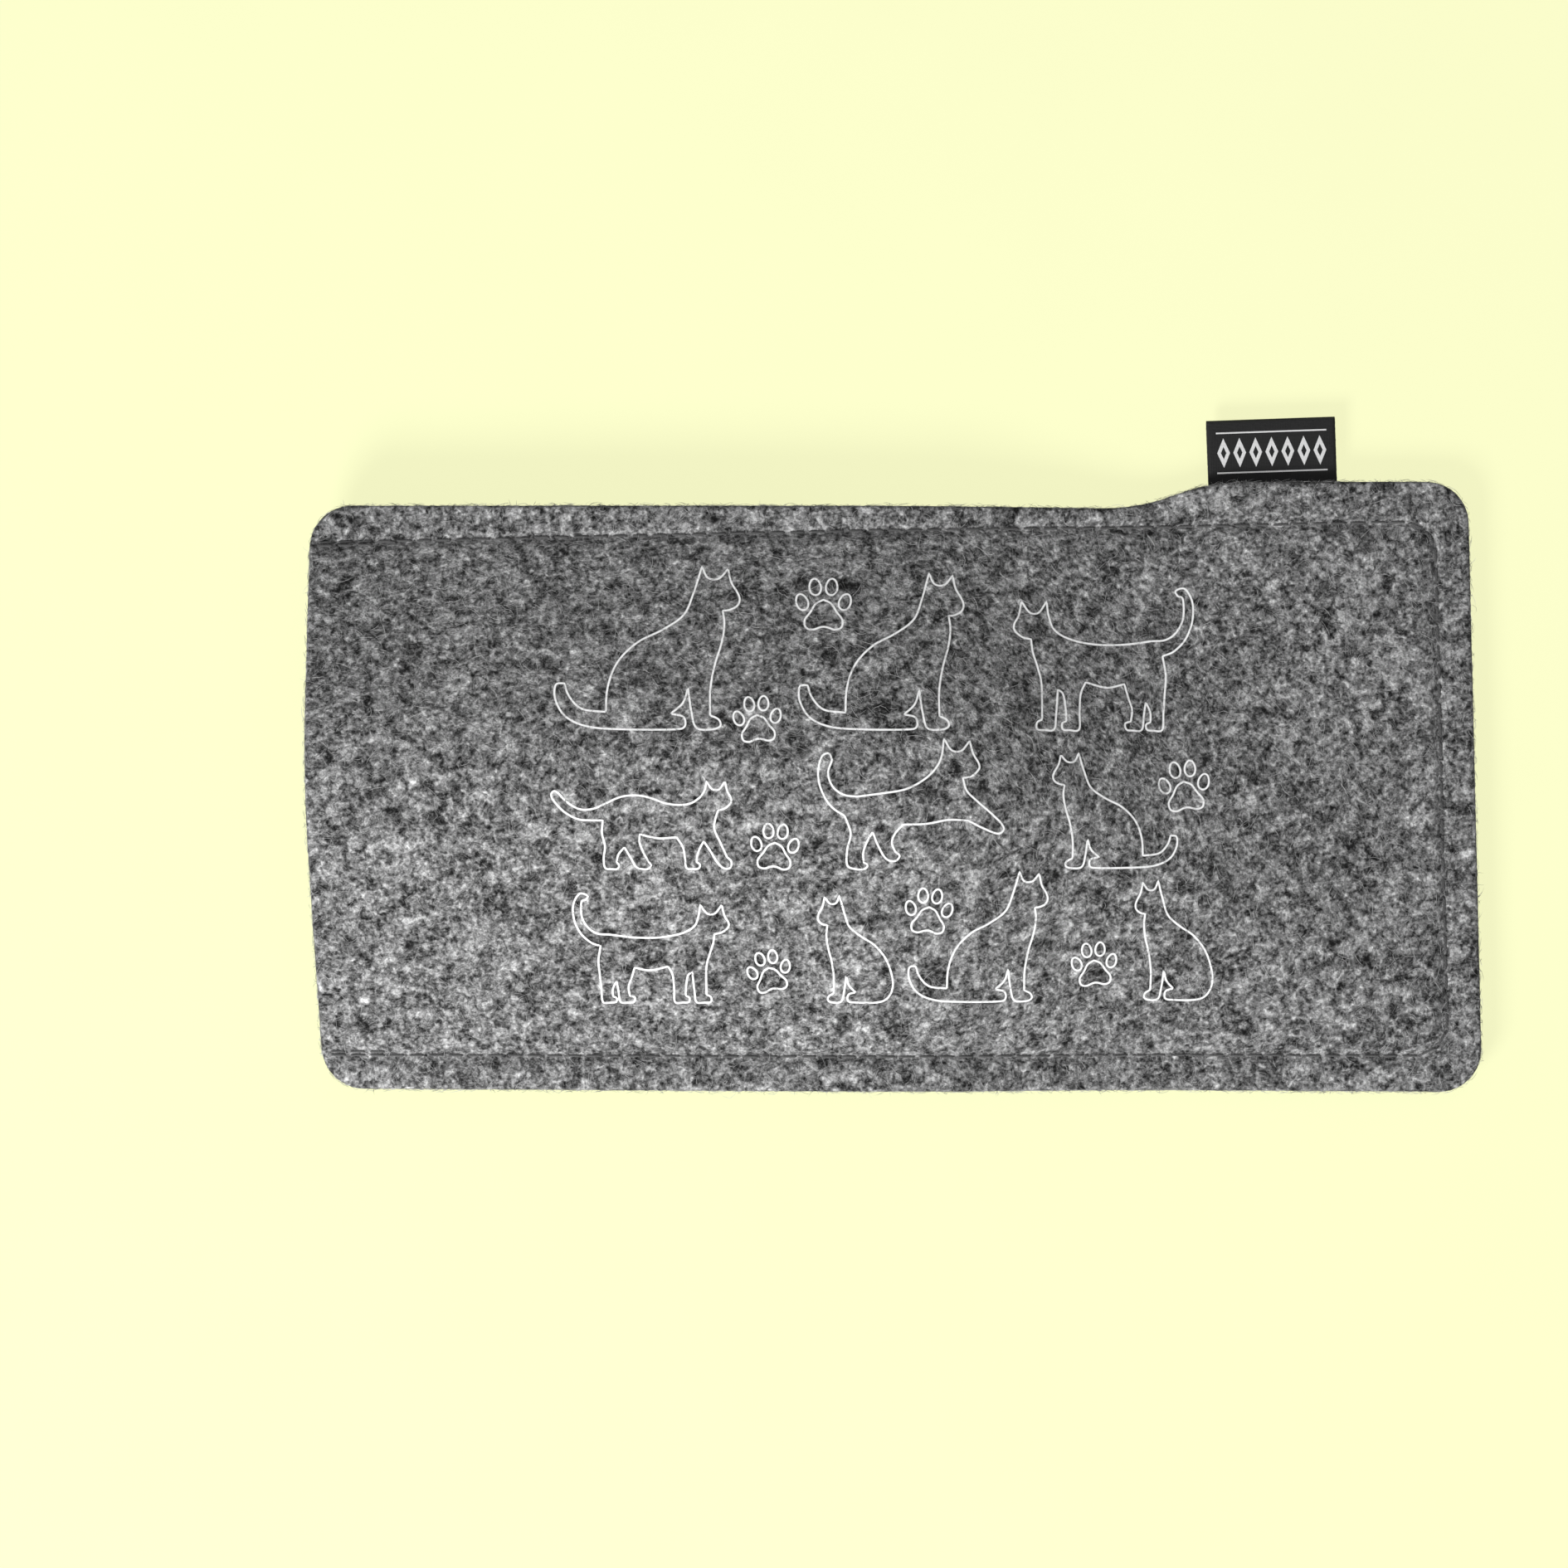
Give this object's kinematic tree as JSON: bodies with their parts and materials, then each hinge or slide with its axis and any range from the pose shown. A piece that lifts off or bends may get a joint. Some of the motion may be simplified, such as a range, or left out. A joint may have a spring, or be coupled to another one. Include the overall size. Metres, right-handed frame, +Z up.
{
  "type": "soft pouch glasses case",
  "caption": "Soft felt pouch for glasses: flat panels sewn along the long sides and the closed end, open at the mouth, with a folded woven label in the side seam.",
  "frame": {"origin": "on the table that the pouch lies on, under the middle of its back panel's flat resting patch", "axes": "+X from the open mouth to the closed end, +Y across the pouch towards the side with the label, +Z up through the front panel"},
  "size_m": [0.1809, 0.105, 0.0248],
  "materials": {
    "felt": "matte",
    "thread": "satin",
    "label": "satin"
  },
  "bodies": {
    "pouch": {"front_panel": "felt", "back_panel": "felt", "needle_thread": "thread", "bobbin_thread": "thread", "label_tails": "label"},
    "label": {"label_loop": "label"}
  },
  "joints": [
    {"name": "label_flap", "type": "hinge", "parent": "pouch", "child": "label", "pos_m": [0.05947, 0.05, 0.0028], "axis": [0.9994, 0.0349, 0], "range_deg": [-80, 80], "stiffness_Nm_per_rad": 0.0002}
  ]
}
